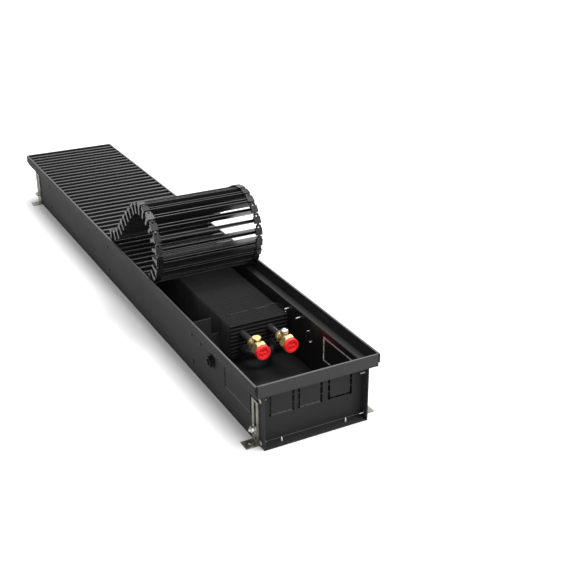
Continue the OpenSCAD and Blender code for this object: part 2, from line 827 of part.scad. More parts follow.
// The roll. Slat 1 hangs on the flat part and slat 21 is the free end. roll_angle is how far
// slat i is turned over, and roll_y and roll_z follow the hinges, each a pitch from the last.
function clamp_count(n, most) = max(0, min(n, most));
function roll_angle(i) = clamp_count(i, curl_count) * curl_turn
    + clamp_count(i - curl_count, leg_count) * leg_turn
    + clamp_count(i - curl_count - leg_count, tail_count) * tail_turn;
function roll_y(i) = i == 0 ? near(roll_start) : roll_y(i - 1) - slat_pitch * cos(roll_angle(i));
function roll_z(i) = i == 0 ? link_z : roll_z(i - 1) + slat_pitch * sin(roll_angle(i));

module rolled_slat(i) {
    translate([0, (roll_y(i - 1) + roll_y(i)) / 2, (roll_z(i - 1) + roll_z(i)) / 2])
        rotate([-roll_angle(i), 0, 0]) {
            slat();
            link_pair();
        }
}

// ---------------------------------------------------------------- nodes

trough();
end_rail();  // end_rail_near
rotate(180) end_rail();  // end_rail_far
end_panel();  // end_panel_near
mirror([0, 1, 0]) end_panel();  // end_panel_far
panel_screws();
floor_screws();
cable_plug();
mirror([1, 0, 0]) foot_bracket();  // foot_bracket_near_left
foot_bracket();  // foot_bracket_near_right
rotate(180) foot_bracket();  // foot_bracket_far_left
mirror([0, 1, 0]) foot_bracket();  // foot_bracket_far_right
foot_bolts();
foot_washers();
foot_nuts();
exchanger_fins();
exchanger_end_fins();
exchanger_tubes();
return_bends();
support_plate(support_ys()[0]);  // support_plate_near
support_plate(support_ys()[1]);  // support_plate_mid
support_plate(support_ys()[2]);  // support_plate_far
support_screws();
union_nuts();
connector(conn_x[0]);  // connector_left
connector(conn_x[1]);  // connector_right
drain_plug();
air_vent_knob();
protective_cap(conn_x[0]);  // protective_cap_left
protective_cap(conn_x[1]);  // protective_cap_right
grille_slats_flat();
grille_links_flat();
rolled_slat(1);  // grille_slat_01
rolled_slat(2);  // grille_slat_02
rolled_slat(3);  // grille_slat_03
rolled_slat(4);  // grille_slat_04
rolled_slat(5);  // grille_slat_05
rolled_slat(6);  // grille_slat_06
rolled_slat(7);  // grille_slat_07
rolled_slat(8);  // grille_slat_08
rolled_slat(9);  // grille_slat_09
rolled_slat(10);  // grille_slat_10
rolled_slat(11);  // grille_slat_11
rolled_slat(12);  // grille_slat_12
rolled_slat(13);  // grille_slat_13
rolled_slat(14);  // grille_slat_14
rolled_slat(15);  // grille_slat_15
rolled_slat(16);  // grille_slat_16
rolled_slat(17);  // grille_slat_17
rolled_slat(18);  // grille_slat_18
rolled_slat(19);  // grille_slat_19
rolled_slat(20);  // grille_slat_20
rolled_slat(21);  // grille_slat_21
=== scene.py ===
"""Looks of the trench convector heater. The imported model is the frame: sheet parts keep their
solids and get a finish, and slats, links, screws and fittings are modelled finely in their place.
Sizes are in millimetres in the model's own axes, and become metres in piece(). Materials read
places in metres."""

import json
import math

import bmesh
import bpy
import numpy as np
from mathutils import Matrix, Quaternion, Vector


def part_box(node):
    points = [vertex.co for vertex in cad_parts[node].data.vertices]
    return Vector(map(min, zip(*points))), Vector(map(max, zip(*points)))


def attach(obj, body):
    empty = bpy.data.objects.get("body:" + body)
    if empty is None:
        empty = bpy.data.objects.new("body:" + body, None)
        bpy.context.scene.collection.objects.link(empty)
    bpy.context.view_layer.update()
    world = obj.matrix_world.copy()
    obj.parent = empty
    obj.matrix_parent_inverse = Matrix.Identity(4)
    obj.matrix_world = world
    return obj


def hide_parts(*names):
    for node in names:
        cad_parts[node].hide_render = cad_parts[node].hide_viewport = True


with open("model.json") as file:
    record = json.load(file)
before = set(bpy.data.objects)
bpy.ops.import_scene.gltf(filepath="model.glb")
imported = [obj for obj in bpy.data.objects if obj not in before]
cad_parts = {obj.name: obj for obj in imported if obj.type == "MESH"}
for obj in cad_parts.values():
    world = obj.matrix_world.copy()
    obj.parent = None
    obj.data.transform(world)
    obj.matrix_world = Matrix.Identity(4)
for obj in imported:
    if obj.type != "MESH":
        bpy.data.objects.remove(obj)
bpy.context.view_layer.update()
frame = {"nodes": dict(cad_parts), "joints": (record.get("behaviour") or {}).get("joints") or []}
scene = bpy.context.scene

# ---------------------------------------------------------------- camera
# It looks down on the near end from the left, and the trough runs away to the upper left. Its
# place and lens were fitted to the trough's straight edges.
camera = bpy.data.objects.new("camera", bpy.data.cameras.new("camera"))
scene.collection.objects.link(camera)
scene.camera = camera
camera.data.sensor_width = 36
camera.data.lens = 60.73
camera.data.clip_end = 200
camera.location = (-0.6029, -1.6331, 0.7945)
camera.rotation_mode = "QUATERNION"
camera.rotation_quaternion = (
    Quaternion((0, 0, 1), math.radians(-28.26))
    @ Quaternion((1, 0, 0), math.radians(90 - 25.07))
    @ Quaternion((0, 0, 1), math.radians(-0.052))
)
scene.view_settings.view_transform = "Standard"


# ---------------------------------------------------------------- floor and light
# A white studio: a dim even surround, brighter in front, a low bright screen behind the far end,
# and one broad light from above right, which leaves a soft shadow along the left wall.
def link(tree, source, target):
    """Joins an output socket to an input socket."""
    tree.links.new(source, target)


def math_node(tree, operation, a, b=0.0, c=0.0):
    """Output of a math node whose inputs are numbers or output sockets."""
    node = tree.nodes.new("ShaderNodeMath")
    node.operation = operation
    for socket, value in zip(node.inputs, (a, b, c)):
        if isinstance(value, (int, float)):
            socket.default_value = value
        else:
            link(tree, value, socket)
    return node.outputs[0]


world = bpy.data.worlds.new("studio")
scene.world = world
world.use_nodes = True
sky = world.node_tree
sky_place = sky.nodes.new("ShaderNodeTexCoord").outputs["Generated"]


def soft_screen(turn, height, spread, strength, rest):
    """Light that is strongest in one direction, turn degrees from +Y towards +X and height
    degrees up, and falls off by a power of the cosine; rest is the light already there."""
    aim = sky.nodes.new("ShaderNodeVectorMath")
    aim.operation = "DOT_PRODUCT"
    up = math.radians(height)
    raised = Vector((0, math.cos(up), math.sin(up)))
    aim.inputs[1].default_value = Quaternion((0, 0, 1), math.radians(-turn)) @ raised
    link(sky, sky_place, aim.inputs[0])
    falloff = math_node(sky, "POWER", math_node(sky, "MAXIMUM", aim.outputs["Value"], 0.0), spread)
    return math_node(sky, "MULTIPLY_ADD", falloff, strength, rest)


dim_surround = 0.42
front_light = soft_screen(turn=172, height=44, spread=3.0, strength=2.1, rest=dim_surround)
light = soft_screen(turn=28, height=32, spread=24.0, strength=3.2, rest=front_light)
seen = sky.nodes.new("ShaderNodeLightPath").outputs["Is Camera Ray"]
unseen = math_node(sky, "MULTIPLY", light, math_node(sky, "SUBTRACT", 1.0, seen))
link(sky, math_node(sky, "ADD", unseen, seen), sky.nodes["Background"].inputs["Strength"])
sky.nodes["Background"].inputs["Color"].default_value = (1, 1, 1, 1)

key = bpy.data.objects.new("key", bpy.data.lights.new("key", "SUN"))
scene.collection.objects.link(key)
key.data.energy = 3.6
key.data.angle = math.radians(30)
key.rotation_euler = (0, math.radians(11), math.radians(-38))

floor_mesh = bpy.data.meshes.new("floor")
half = 40
corners = [(-half, -half, 0.0), (half, -half, 0.0), (half, half, 0.0), (-half, half, 0.0)]
floor_mesh.from_pydata(corners, [], [(0, 1, 2, 3)])
floor = bpy.data.objects.new("floor", floor_mesh)
scene.collection.objects.link(floor)
floor_paint = bpy.data.materials.new("floor_white")
floor_paint.use_nodes = True
floor_shader = floor_paint.node_tree.nodes["Principled BSDF"]
floor_shader.inputs["Base Color"].default_value = (0.68, 0.68, 0.68, 1)
floor_shader.inputs["Roughness"].default_value = 0.9
floor_shader.inputs["Specular IOR Level"].default_value = 0.2
floor_mesh.materials.append(floor_paint)


# ---------------------------------------------------------------- surface effects
# Patterns that several finishes share. Each is a group that gives plain values, worked out from
# the place on the object.
def effect(name, inputs, outputs):
    """An empty shader group with float inputs {name: value} and float outputs."""
    group = bpy.data.node_groups.new(name, "ShaderNodeTree")
    for label, value in inputs.items():
        group.interface.new_socket(label, in_out="INPUT", socket_type="NodeSocketFloat").default_value = value
    for label in outputs:
        group.interface.new_socket(label, in_out="OUTPUT", socket_type="NodeSocketFloat")
    return group, group.nodes.new("NodeGroupInput"), group.nodes.new("NodeGroupOutput")


def noise(tree, scale, detail=2.0, stretch=(1, 1, 1)):
    """Noise from 0 to 1 with scale waves per metre, stretched along the axes."""
    place = tree.nodes.new("ShaderNodeTexCoord")
    mapping = tree.nodes.new("ShaderNodeMapping")
    mapping.inputs["Scale"].default_value = [scale * s for s in stretch]
    link(tree, place.outputs["Object"], mapping.inputs["Vector"])
    node = tree.nodes.new("ShaderNodeTexNoise")
    node.inputs["Scale"].default_value = 1
    node.inputs["Detail"].default_value = detail
    link(tree, mapping.outputs["Vector"], node.inputs["Vector"])
    return node.outputs["Fac"]


def uneven_sheen(group, given, pattern):
    """The given sheen, more or less by the given spread times the pattern's rise above a half."""
    rise = math_node(group, "SUBTRACT", pattern, 0.5)
    change = math_node(group, "MULTIPLY", rise, given.outputs["Spread"])
    return math_node(group, "ADD", given.outputs["Sheen"], change)


# Fine orange peel of a powder coat, and broad clouds where it took a little more or less sheen
grain, grain_in, grain_out = effect(
    "powder_grain", {"Sheen": 0.45, "Spread": 0.12}, ["Height", "Roughness"])
link(grain, noise(grain, scale=900, detail=3), grain_out.inputs["Height"])
clouds = noise(grain, scale=14, detail=4)
link(grain, uneven_sheen(grain, grain_in, clouds), grain_out.inputs["Roughness"])

# Fine lines of drawn or brushed metal along X
brushed, brushed_in, brushed_out = effect(
    "brushed_lines", {"Sheen": 0.3, "Spread": 0.2}, ["Height", "Roughness"])
lines = noise(brushed, scale=1500, detail=2, stretch=(0.02, 1, 1))
link(brushed, lines, brushed_out.inputs["Height"])
link(brushed, uneven_sheen(brushed, brushed_in, lines), brushed_out.inputs["Roughness"])

# Crystal flakes of a zinc coat, each with its own brightness
spangle, spangle_in, spangle_out = effect("zinc_spangle", {"Scale": 260.0}, ["Flake", "Stain"])
flakes = spangle.nodes.new("ShaderNodeTexVoronoi")
link(spangle, spangle.nodes.new("ShaderNodeTexCoord").outputs["Object"], flakes.inputs["Vector"])
link(spangle, spangle_in.outputs["Scale"], flakes.inputs["Scale"])
flake_color = spangle.nodes.new("ShaderNodeSeparateColor")
link(spangle, flakes.outputs["Color"], flake_color.inputs[0])
link(spangle, flake_color.outputs[0], spangle_out.inputs["Flake"])
link(spangle, noise(spangle, scale=110, detail=5), spangle_out.inputs["Stain"])


def finish(name, color, roughness, metallic=0.0, pattern=None, relief=0.0, **values):
    """A Principled material; a pattern group may give its roughness and its relief in metres."""
    paint = bpy.data.materials.new(name)
    paint.use_nodes = True
    tree = paint.node_tree
    shader = tree.nodes["Principled BSDF"]
    shader.inputs["Base Color"].default_value = (*color, 1)
    shader.inputs["Roughness"].default_value = roughness
    shader.inputs["Metallic"].default_value = metallic
    for label, value in values.items():
        shader.inputs[label.replace("_", " ")].default_value = value
    if pattern:
        group = tree.nodes.new("ShaderNodeGroup")
        group.node_tree = pattern
        group.inputs["Sheen"].default_value = roughness
        link(tree, group.outputs["Roughness"], shader.inputs["Roughness"])
        bump = tree.nodes.new("ShaderNodeBump")
        bump.inputs["Distance"].default_value = relief
        link(tree, group.outputs["Height"], bump.inputs["Height"])
        link(tree, bump.outputs["Normal"], shader.inputs["Normal"])
    return paint


def feed(tree, source, label):
    """Joins an output socket to an input of the material's Principled shader."""
    link(tree, source, tree.nodes["Principled BSDF"].inputs[label])


# ---------------------------------------------------------------- casing
# Trough, end rails and end panels of bent sheet steel with a satin black powder coat. Their
# sharp edges get the small radius that a coat leaves. Slits round the knock-outs are painted
# black from outside, painted shade, and light grey inside the right wall, painted daylight.
coat_color = (0.011, 0.011, 0.0115)
coat_sheen = 0.34
wall_sheen = 0.72
coat_specular = 0.3

# Outline of a punched knock-out: its upright and its level slits, which small bridges break. Where
# a bridge stands is a share of half the slit's length, and the other sizes are in metres.
knockout_inputs = ("Along", "Height", "Middle", "Middle Height", "Half Width", "Half Height")
knockout, knockout_in, knockout_out = effect(
    "knockout_outline", dict.fromkeys(knockout_inputs, 0.0), ["Upright", "Level"])
half_upright = 0.0018
half_level = 0.0013
half_bridge = 0.0008
upright_bridge = 1 / 3
level_bridge = 1 / 2


def slit_mask(across, half_across, beside, half_beside, bridge, half_slit):
    """1 on the two slits that lie half_across from the middle, and 0 elsewhere and on bridges."""
    on_line = math_node(knockout, "COMPARE", across, half_across, half_slit)
    in_reach = math_node(knockout, "LESS_THAN", beside, math_node(knockout, "ADD", half_beside, half_slit))
    bridge_place = math_node(knockout, "MULTIPLY", half_beside, bridge)
    on_bridge = math_node(knockout, "COMPARE", beside, bridge_place, half_bridge)
    open_line = math_node(knockout, "MULTIPLY", on_line, in_reach)
    return math_node(knockout, "MULTIPLY", open_line, math_node(knockout, "SUBTRACT", 1.0, on_bridge))


def off_middle(place, middle):
    """Distance between two inputs of the outline."""
    off = math_node(knockout, "SUBTRACT", knockout_in.outputs[place], knockout_in.outputs[middle])
    return math_node(knockout, "ABSOLUTE", off)


off_along = off_middle("Along", "Middle")
off_height = off_middle("Height", "Middle Height")
half_width, half_height = knockout_in.outputs["Half Width"], knockout_in.outputs["Half Height"]
upright = slit_mask(off_along, half_width, off_height, half_height, upright_bridge, half_upright)
level = slit_mask(off_height, half_height, off_along, half_width, level_bridge, half_level)
link(knockout, upright, knockout_out.inputs["Upright"])
link(knockout, level, knockout_out.inputs["Level"])


def outline(tree, along, height, middle, middle_height, half_w, half_h):
    """The knock-out outline placed in a material, with its sizes in metres."""
    group = tree.nodes.new("ShaderNodeGroup")
    group.node_tree = knockout
    link(tree, along, group.inputs["Along"])
    link(tree, height, group.inputs["Height"])
    for label, value in zip(knockout_inputs[2:], (middle, middle_height, half_w, half_h)):
        group.inputs[label].default_value = value
    return group.outputs["Upright"], group.outputs["Level"]


def tinted(tree, under, over, mask):
    """Colour under, turned to the colour over where the mask is 1."""
    mix = tree.nodes.new("ShaderNodeMix")
    mix.data_type = "RGBA"
    link(tree, mask, mix.inputs[0])
    if isinstance(under, tuple):
        mix.inputs[6].default_value = (*under, 1)
    else:
        link(tree, under, mix.inputs[6])
    mix.inputs[7].default_value = (*over, 1)
    return mix.outputs[2]


def coat_with_cuts(name, sheen):
    """The coat, its node tree, and the X, Y and Z of a place on the object."""
    paint = finish(name, coat_color, sheen, pattern=grain, relief=0.00002,
                   Specular_IOR_Level=coat_specular)
    tree = paint.node_tree
    split = tree.nodes.new("ShaderNodeSeparateXYZ")
    link(tree, tree.nodes.new("ShaderNodeTexCoord").outputs["Object"], split.inputs[0])
    return paint, tree, split.outputs


# Places on the bent sheet in metres, from the middle of the trough and up from its underside
wall_inside = 0.0852
wall_middle = 0.0856
rim_inside = 0.0977
ledge_top = 0.0898
rim_top_z = 0.1108


def inner_side(tree, x, z):
    """Two masks: 1 anywhere inside the trough, and 1 only over the ledges inside the rim."""
    across = math_node(tree, "ABSOLUTE", x)
    between = math_node(tree, "LESS_THAN", across, wall_inside)
    over_ledge = math_node(tree, "MULTIPLY", math_node(tree, "LESS_THAN", across, rim_inside),
                           math_node(tree, "GREATER_THAN", z, ledge_top))
    return math_node(tree, "MAXIMUM", between, over_ledge), over_ledge


# End panels: two windows stand before the ports and one beside them. Their uprights and the last
# window's outline are painted black, painted shade in the slits, and the other sills and the fold of
# the bottom flange are painted lighter, painted highlights.
port_x = [(low[0] + high[0]) / 2 for low, high in (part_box("connector_left"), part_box("connector_right"))]
window_pitch = 0.0465
window_middles = (port_x[0] - window_pitch, *port_x)
window_z, window_half_w, window_half_h = 0.0625, 0.0187, 0.0182
fold_z, half_fold = 0.0027, 0.0006
# Painted highlights on the sills and the fold, painted shade in the slits
sill_highlight_color = (0.045, 0.045, 0.045)
fold_highlight_color = (0.09, 0.09, 0.09)
slit_shade_color = (0, 0, 0)
panel_coat, tree, (x_place, y_place, z_place) = coat_with_cuts("black_coat_panels", wall_sheen)
uprights, levels = 0.0, 0.0
fold = math_node(tree, "COMPARE", z_place, fold_z, half_fold)
for middle in window_middles:
    upright, level = outline(tree, x_place, z_place, middle, window_z, window_half_w, window_half_h)
    uprights = math_node(tree, "MAXIMUM", upright, uprights)
    if middle == window_middles[-1]:
        uprights = math_node(tree, "MAXIMUM", level, uprights)
    else:
        levels = math_node(tree, "MAXIMUM", level, levels)
color = tinted(tree, tinted(tree, coat_color, sill_highlight_color, levels), fold_highlight_color, fold)
feed(tree, tinted(tree, color, slit_shade_color, uprights), "Base Color")
feed(tree, uprights, "Metallic")

# End rails: the top of the rim is painted a little lighter, a painted highlight
rail_color = (0.016, 0.016, 0.0165)
rim_highlight_color = (0.04, 0.04, 0.041)
rail_coat, tree, (x_place, y_place, z_place) = coat_with_cuts("black_coat_rails", coat_sheen)
rim_top = math_node(tree, "GREATER_THAN", z_place, rim_top_z)
feed(tree, tinted(tree, rail_color, rim_highlight_color, rim_top), "Base Color")

# Trough: the walls are matt outside and satin inside, and each has one window near the end. The
# inside is painted darker, painted shade; the ledges lighter, a painted reflection; the rim's top
# and the window's sill outside lighter, painted highlights; the window's uprights black outside,
# painted shade; and its slits light grey inside the right wall, painted daylight.
side_window_y, side_window_z, side_half_w, side_half_h = -0.509, 0.059, 0.0437, 0.0197
inside_shade_color = (0.0095, 0.0095, 0.01)
side_sill_highlight_color = (0.055, 0.055, 0.055)
ledge_reflection_color = (0.026, 0.026, 0.0265)
painted_daylight_color = (0.5, 0.5, 0.5)
trough_coat, tree, (x_place, y_place, z_place) = coat_with_cuts("black_coat_trough", coat_sheen)
upright, level = outline(tree, y_place, z_place, side_window_y, side_window_z, side_half_w, side_half_h)
outside = math_node(tree, "GREATER_THAN", math_node(tree, "ABSOLUTE", x_place), wall_middle)
inside_right = math_node(tree, "MULTIPLY", math_node(tree, "GREATER_THAN", x_place, 0.0),
                         math_node(tree, "SUBTRACT", 1.0, outside))
dark = math_node(tree, "MULTIPLY", upright, outside)
sill = math_node(tree, "MULTIPLY", level, outside)
painted_daylight = math_node(tree, "MULTIPLY", math_node(tree, "MAXIMUM", upright, level), inside_right)
rim_top = math_node(tree, "GREATER_THAN", z_place, rim_top_z)
inside, over_ledge = inner_side(tree, x_place, z_place)
satin = math_node(tree, "MAXIMUM", inside, rim_top)
sheen = math_node(tree, "MULTIPLY_ADD", satin, coat_sheen - wall_sheen, wall_sheen)
link(tree, sheen, tree.nodes["Group"].inputs["Sheen"])
# Painted shade inside and in the outer slits, painted reflection on the ledges, painted highlights on the
# sill and rim top, painted daylight in the inner slits
color = tinted(tree, tinted(tree, coat_color, inside_shade_color, inside), side_sill_highlight_color, sill)
color = tinted(tree, tinted(tree, color, ledge_reflection_color, over_ledge), rim_highlight_color, rim_top)
color = tinted(tree, tinted(tree, color, painted_daylight_color, painted_daylight), slit_shade_color, dark)
feed(tree, color, "Base Color")
feed(tree, dark, "Metallic")


def soft_edges(item, radius):
    """Rounds the sharp edges of an object by a radius in millimetres."""
    bevel = item.modifiers.new("bevel", "BEVEL")
    bevel.width = radius / 1000
    bevel.segments = 2
    bevel.limit_method = "ANGLE"
    bevel.angle_limit = math.radians(40)


def dress(paint, *nodes, radius=0.25):
    """Gives CAD nodes a finish, and rounds their sharp edges by a radius in millimetres."""
    for name in nodes:
        part = frame["nodes"][name]
        for slot in part.material_slots:
            slot.material = paint
        if radius:
            weld = part.modifiers.new("weld", "WELD")
            weld.merge_threshold = 1e-6
            soft_edges(part, radius)


dress(rail_coat, "end_rail_near", "end_rail_far")
dress(panel_coat, "end_panel_near", "end_panel_far")
dress(trough_coat, "trough")

# ---------------------------------------------------------------- heat exchanger
# Aluminium fins on copper tubes, all dipped in a matt black coat. Cross plates of bent sheet,
# screwed to the walls, carry the block in the trough.
fin_coat = finish("fin_coat", (0.036, 0.036, 0.036), 0.55, pattern=grain, relief=0.00001,
                  Specular_IOR_Level=0.2)
# The end fins get a darker copy of the fin coat: painted shade on the block's near face
shaded_end_fin_coat = finish("shaded_end_fin_coat", (0.007, 0.007, 0.007), 0.5, pattern=grain, relief=0.00001,
                      Specular_IOR_Level=0.15)
tube_coat = finish("tube_coat", (0.020, 0.020, 0.022), 0.26, pattern=grain, relief=0.00002)
dress(fin_coat, "exchanger_fins", radius=0)
dress(shaded_end_fin_coat, "exchanger_end_fins", radius=0)
plate_coat = finish("plate_coat", (0.019, 0.019, 0.0195), 0.4, pattern=grain, relief=0.00002)
dress(plate_coat, "support_plate_near", "support_plate_mid", "support_plate_far", radius=0.2)
dress(tube_coat, "exchanger_tubes", "return_bends", radius=0)


# ---------------------------------------------------------------- slats
# Each slat is an inverted channel of black anodised aluminium with a soft top edge. Its legs
# are cut away over the links. One piece lies flat, and each slat of the roll has its own.
def grid(points, close_rows=False, close_columns=False):
    """Points in rows and columns, joined by quads; closing joins the last row or column to
    the first."""
    index = np.arange(points.shape[0] * points.shape[1]).reshape(points.shape[:2])
    if close_rows:
        index = np.vstack([index, index[:1]])
    if close_columns:
        index = np.hstack([index, index[:, :1]])
    quads = np.stack([index[:-1, :-1], index[1:, :-1], index[1:, 1:], index[:-1, 1:]], axis=-1)
    return points.reshape(-1, 3), quads.reshape(-1, 4)


def join(*parts):
    """One part made of several (points, quads) parts."""
    starts = np.cumsum([0] + [len(points) for points, _ in parts])
    points = np.vstack([points for points, _ in parts])
    return points, np.vstack([quads + start for (_, quads), start in zip(parts, starts)])


def piece(name, part, paint, body, node, smooth=35, radius=0.0, edge=None):
    """Makes a part an object that rides on a body, stands for a CAD node, and has a finish. edge
    is 1 at points on an edge with a painted highlight and 0 elsewhere."""
    points, quads = part
    mesh = bpy.data.meshes.new(name)
    mesh.from_pydata((points / 1000).tolist(), [], quads.tolist())
    if edge is not None:
        mesh.attributes.new("edge", "FLOAT", "POINT").data.foreach_set("value", edge.astype(np.float32))
    shape = bmesh.new()
    shape.from_mesh(mesh)
    bmesh.ops.remove_doubles(shape, verts=shape.verts, dist=1e-6)
    bmesh.ops.recalc_face_normals(shape, faces=shape.faces)
    shape.to_mesh(mesh)
    shape.free()
    mesh.shade_smooth()
    mesh.set_sharp_from_angle(angle=math.radians(smooth))
    mesh.materials.append(paint)
    item = bpy.data.objects.new(name, mesh)
    scene.collection.objects.link(item)
    if radius:
        soft_edges(item, radius)
    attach(item, body)
    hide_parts(node)


flat_high = np.array(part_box("grille_slats_flat")[1]) * 1000
slat_end = flat_high[0]
link_len = 12.0
link_inner = slat_end - link_len
slat_half_w = 3.0
slat_wall = 1.0
slat_top = 17.2
slat_bottom = -0.8
link_half_h = 2.5
top_radius = 0.9


def sweep_x(stations):
    """Closed profiles of (y, z) points at each x, joined along x. The profile goes out along
    one side and back along the other, so its ends are closed across."""
    rows = np.array([[(x, y, z) for y, z in profile] for x, profile in stations], float)
    half = rows.shape[1] // 2
    ends = [grid(np.stack([row[:half], row[:half - 1:-1]])) for row in (rows[0], rows[-1])]
    return join(grid(rows, close_columns=True), *ends)


def slat_profile(bottom):
    """Up the outside of one leg, over the rounded top, down the other leg, and back inside."""
    arc = [math.radians(a) for a in (180, 150, 120, 90)]
    left = [(-slat_half_w, bottom), (-slat_half_w, link_half_h)]
    left += [(-slat_half_w + top_radius * (1 + math.cos(a)), slat_top - top_radius * (1 - math.sin(a)))
             for a in arc]
    outside = left + [(-y, z) for y, z in reversed(left)]
    inner_w = slat_half_w - slat_wall
    inner_left = [(-inner_w, bottom), (-inner_w, link_half_h)] + [(-inner_w, slat_top - slat_wall)] * len(arc)
    inside = inner_left + [(-y, z) for y, z in reversed(inner_left)]
    return outside + inside[::-1]


def slat_part():
    """A slat in its own frame: the hinge axis is at height 0 and its top points up. The profile
    is carried along X, and its legs are cut short over the links."""
    notched, full = slat_profile(link_half_h), slat_profile(slat_bottom)
    return sweep_x([(-slat_end, notched), (-link_inner, notched), (-link_inner, full),
                    (link_inner, full), (link_inner, notched), (slat_end, notched)])


def placed(part, y, z, turn=0.0):
    """A part turned about X, its top towards +Y for a positive turn, and moved to (y, z)."""
    points, quads = part
    across, up = points[:, 1], points[:, 2]
    c, s = math.cos(turn), math.sin(turn)
    return np.stack([points[:, 0], y + across * c + up * s, z - across * s + up * c], 1), quads


# The roll's joints give its hinges. A slat turns to face the next hinge, and the last slat, which
# has none after it, turns on by as much as the one before.
hinges = [np.array(joint["pos_m"][1:]) * 1000 for joint in frame["joints"]
          if joint["name"].startswith("unroll")]
turns = np.unwrap([math.atan2(b[1] - a[1], a[0] - b[0]) for a, b in zip(hinges, hinges[1:])])
last_turn = 2 * turns[-1] - turns[-2]
pitch = float(np.linalg.norm(hinges[1] - hinges[0]))
hinges.append(hinges[-1] + pitch * np.array([-math.cos(last_turn), math.sin(last_turn)]))
roll = [((a + b) / 2, turn) for a, b, turn in zip(hinges, hinges[1:], [*turns, last_turn])]
flat_height = hinges[0][1]
flat_places = np.arange(hinges[0][0] + pitch / 2, flat_high[1], pitch)

# The lower edges of the legs are painted a lighter grey, a painted highlight. The edge attribute
# falls from 1 there to 0 higher up, and the grey is painted only where it is above the limit.
slat_black = (0.011, 0.011, 0.0115)
highlight_grey = (0.07, 0.07, 0.072)
highlight_limit = 0.92
slat_paint = finish("black_anodised", slat_black, 0.26, pattern=brushed, relief=0.00001,
                    Specular_IOR_Level=0.25)
tree = slat_paint.node_tree
highlight_edge = tree.nodes.new("ShaderNodeAttribute")
highlight_edge.attribute_name = "edge"
on_edge = math_node(tree, "GREATER_THAN", highlight_edge.outputs["Fac"], highlight_limit)
feed(tree, tinted(tree, slat_black, highlight_grey, on_edge), "Base Color")
slat = slat_part()
leg_edge = (slat[0][:, 2] < slat_bottom + 0.1).astype(float)
flat_slats = join(*[placed(slat, y, flat_height) for y in flat_places])
piece("slats_flat", flat_slats, slat_paint, "grille", "grille_slats_flat", radius=0.15,
      edge=np.tile(leg_edge, len(flat_places)))
for i, ((y, z), turn) in enumerate(roll, 1):
    piece(f"slat_{i:02d}", placed(slat, y, z, turn), slat_paint, f"slat_{i:02d}",
          f"grille_slat_{i:02d}", radius=0.15, edge=leg_edge)

# ---------------------------------------------------------------- links
# Moulded black plastic links at both ends of every slat. Each has a fork on one side and an eye
# on the other, which turn on a short stub, and a tongue that closes the end of the slat.
half_pitch = pitch / 2
body_half = 6.2
knuckle_r = 1.9
neck_half_h = 1.5
neck_short = 1.2
neck_in = 1.5
stub_reach = 1.4
third = link_len / 3
end_angles = np.radians(np.linspace(-90, 90, 9))


def link_profile(fork, eye):
    """Side view of a slice of the link. Each end is either the flat end of its body or goes out
    to the hinge and round it."""
    def end(side, out):
        """Points of one end, from its lower edge to its upper one."""
        knuckle = [(half_pitch + knuckle_r * math.cos(a), knuckle_r * math.sin(a)) for a in end_angles]
        knuckle = [(body_half, -neck_half_h), (half_pitch - neck_short, -neck_half_h), *knuckle,
                   (half_pitch - neck_short, neck_half_h), (body_half, neck_half_h)]
        rows = knuckle if out else [(body_half, z) for _, z in knuckle]
        rows = [(body_half, -link_half_h), *rows, (body_half, link_half_h)]
        return [(side * y, z) for y, z in rows]
    return end(-1, fork) + end(1, eye)[::-1]


def pin_x(x0, x1, y, z, radius, sides=16):
    """A plain pin along X: a circle at each end, closed at the axis."""
    angles = np.linspace(0, 2 * math.pi, sides, endpoint=False)
    rows = [np.stack([np.full(sides, x), y + r * np.cos(angles), z + r * np.sin(angles)], 1)
            for x, r in ((x0, 0), (x0, radius), (x1, radius), (x1, 0))]
    return grid(np.array(rows), close_columns=True)


def link_part():
    """The link at the +X end of a slat, in the slat's frame, with its tongue and hinge stub. Slices
    along X have the fork, the eye or only the body, with a small gap between fork and eye."""
    gap = 0.25
    fork, body, eye = link_profile(True, False), link_profile(False, False), link_profile(False, True)
    cuts = [(0, neck_in, body), (neck_in, third, fork), (third, third + gap, body),
            (third + gap, 2 * third - gap, eye), (2 * third - gap, 2 * third, body),
            (2 * third, link_len - neck_in, fork), (link_len - neck_in, link_len, body)]
    stations = [(link_inner + x, profile) for start, stop, profile in cuts for x, profile in
                ((start, profile), (stop, profile))]
    tongue_w = slat_half_w - slat_wall
    low, high = link_half_h, slat_top - slat_wall
    tongue = [(-tongue_w, low), (-tongue_w, high), (tongue_w, high), (tongue_w, low)]
    stub = pin_x(link_inner + third - stub_reach, link_inner + 2 * third + stub_reach, half_pitch, 0, 1.0)
    return join(sweep_x(stations), sweep_x([(link_inner, tongue), (slat_end, tongue)]), stub)


def mirrored(part):
    """The part seen in a mirror across X = 0."""
    points, quads = part
    return points * (-1, 1, 1), quads


right_link = link_part()
link_pair = join(right_link, mirrored(right_link))
link_paint = finish("black_moulding", (0.006, 0.006, 0.006), 0.26, pattern=grain, relief=0.00001,
                    Specular_IOR_Level=0.3)
flat_links = join(*[placed(link_pair, y, flat_height) for y in flat_places])
piece("links_flat", flat_links, link_paint, "grille", "grille_links_flat", radius=0.2)
for i, ((y, z), turn) in enumerate(roll, 1):
    piece(f"links_{i:02d}", placed(link_pair, y, z, turn), link_paint, f"slat_{i:02d}",
          f"grille_slat_{i:02d}", radius=0.2)


